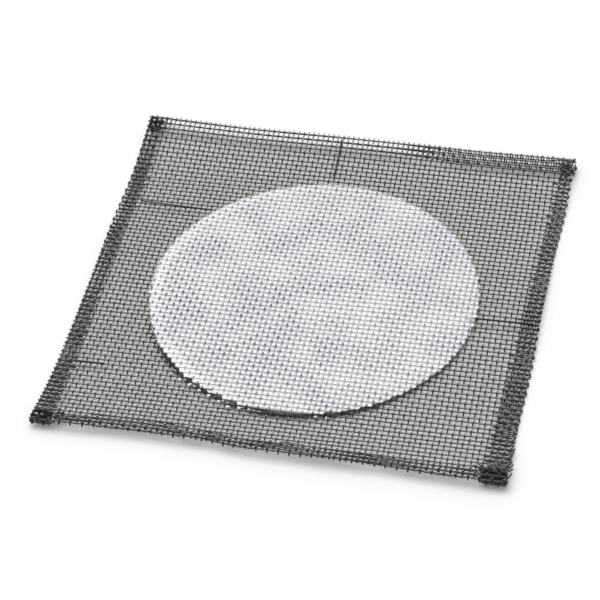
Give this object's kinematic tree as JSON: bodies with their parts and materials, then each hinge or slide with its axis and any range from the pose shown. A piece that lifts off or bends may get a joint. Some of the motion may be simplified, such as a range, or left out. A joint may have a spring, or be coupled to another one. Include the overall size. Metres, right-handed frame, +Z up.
{
  "type": "wire gauze",
  "caption": "Square of woven iron wire cloth with folded hems and a round white ceramic centre, laid on a tripod to spread a burner's heat under a glass vessel.",
  "frame": {"origin": "on the surface that the gauze lies on, under the middle of its outline", "axes": "+X along the near edge, +Y from the near edge to the far edge, +Z up out of the side that a vessel stands on"},
  "size_m": [0.125, 0.1256, 0.0045],
  "materials": {
    "iron_wire": "dark drawn iron wire, dull",
    "ceramic": "matt, slightly mottled, with the weave showing through"
  },
  "bodies": {
    "root": {"wire_cloth": "iron_wire", "ceramic_disc": "ceramic"}
  },
  "joints": []
}
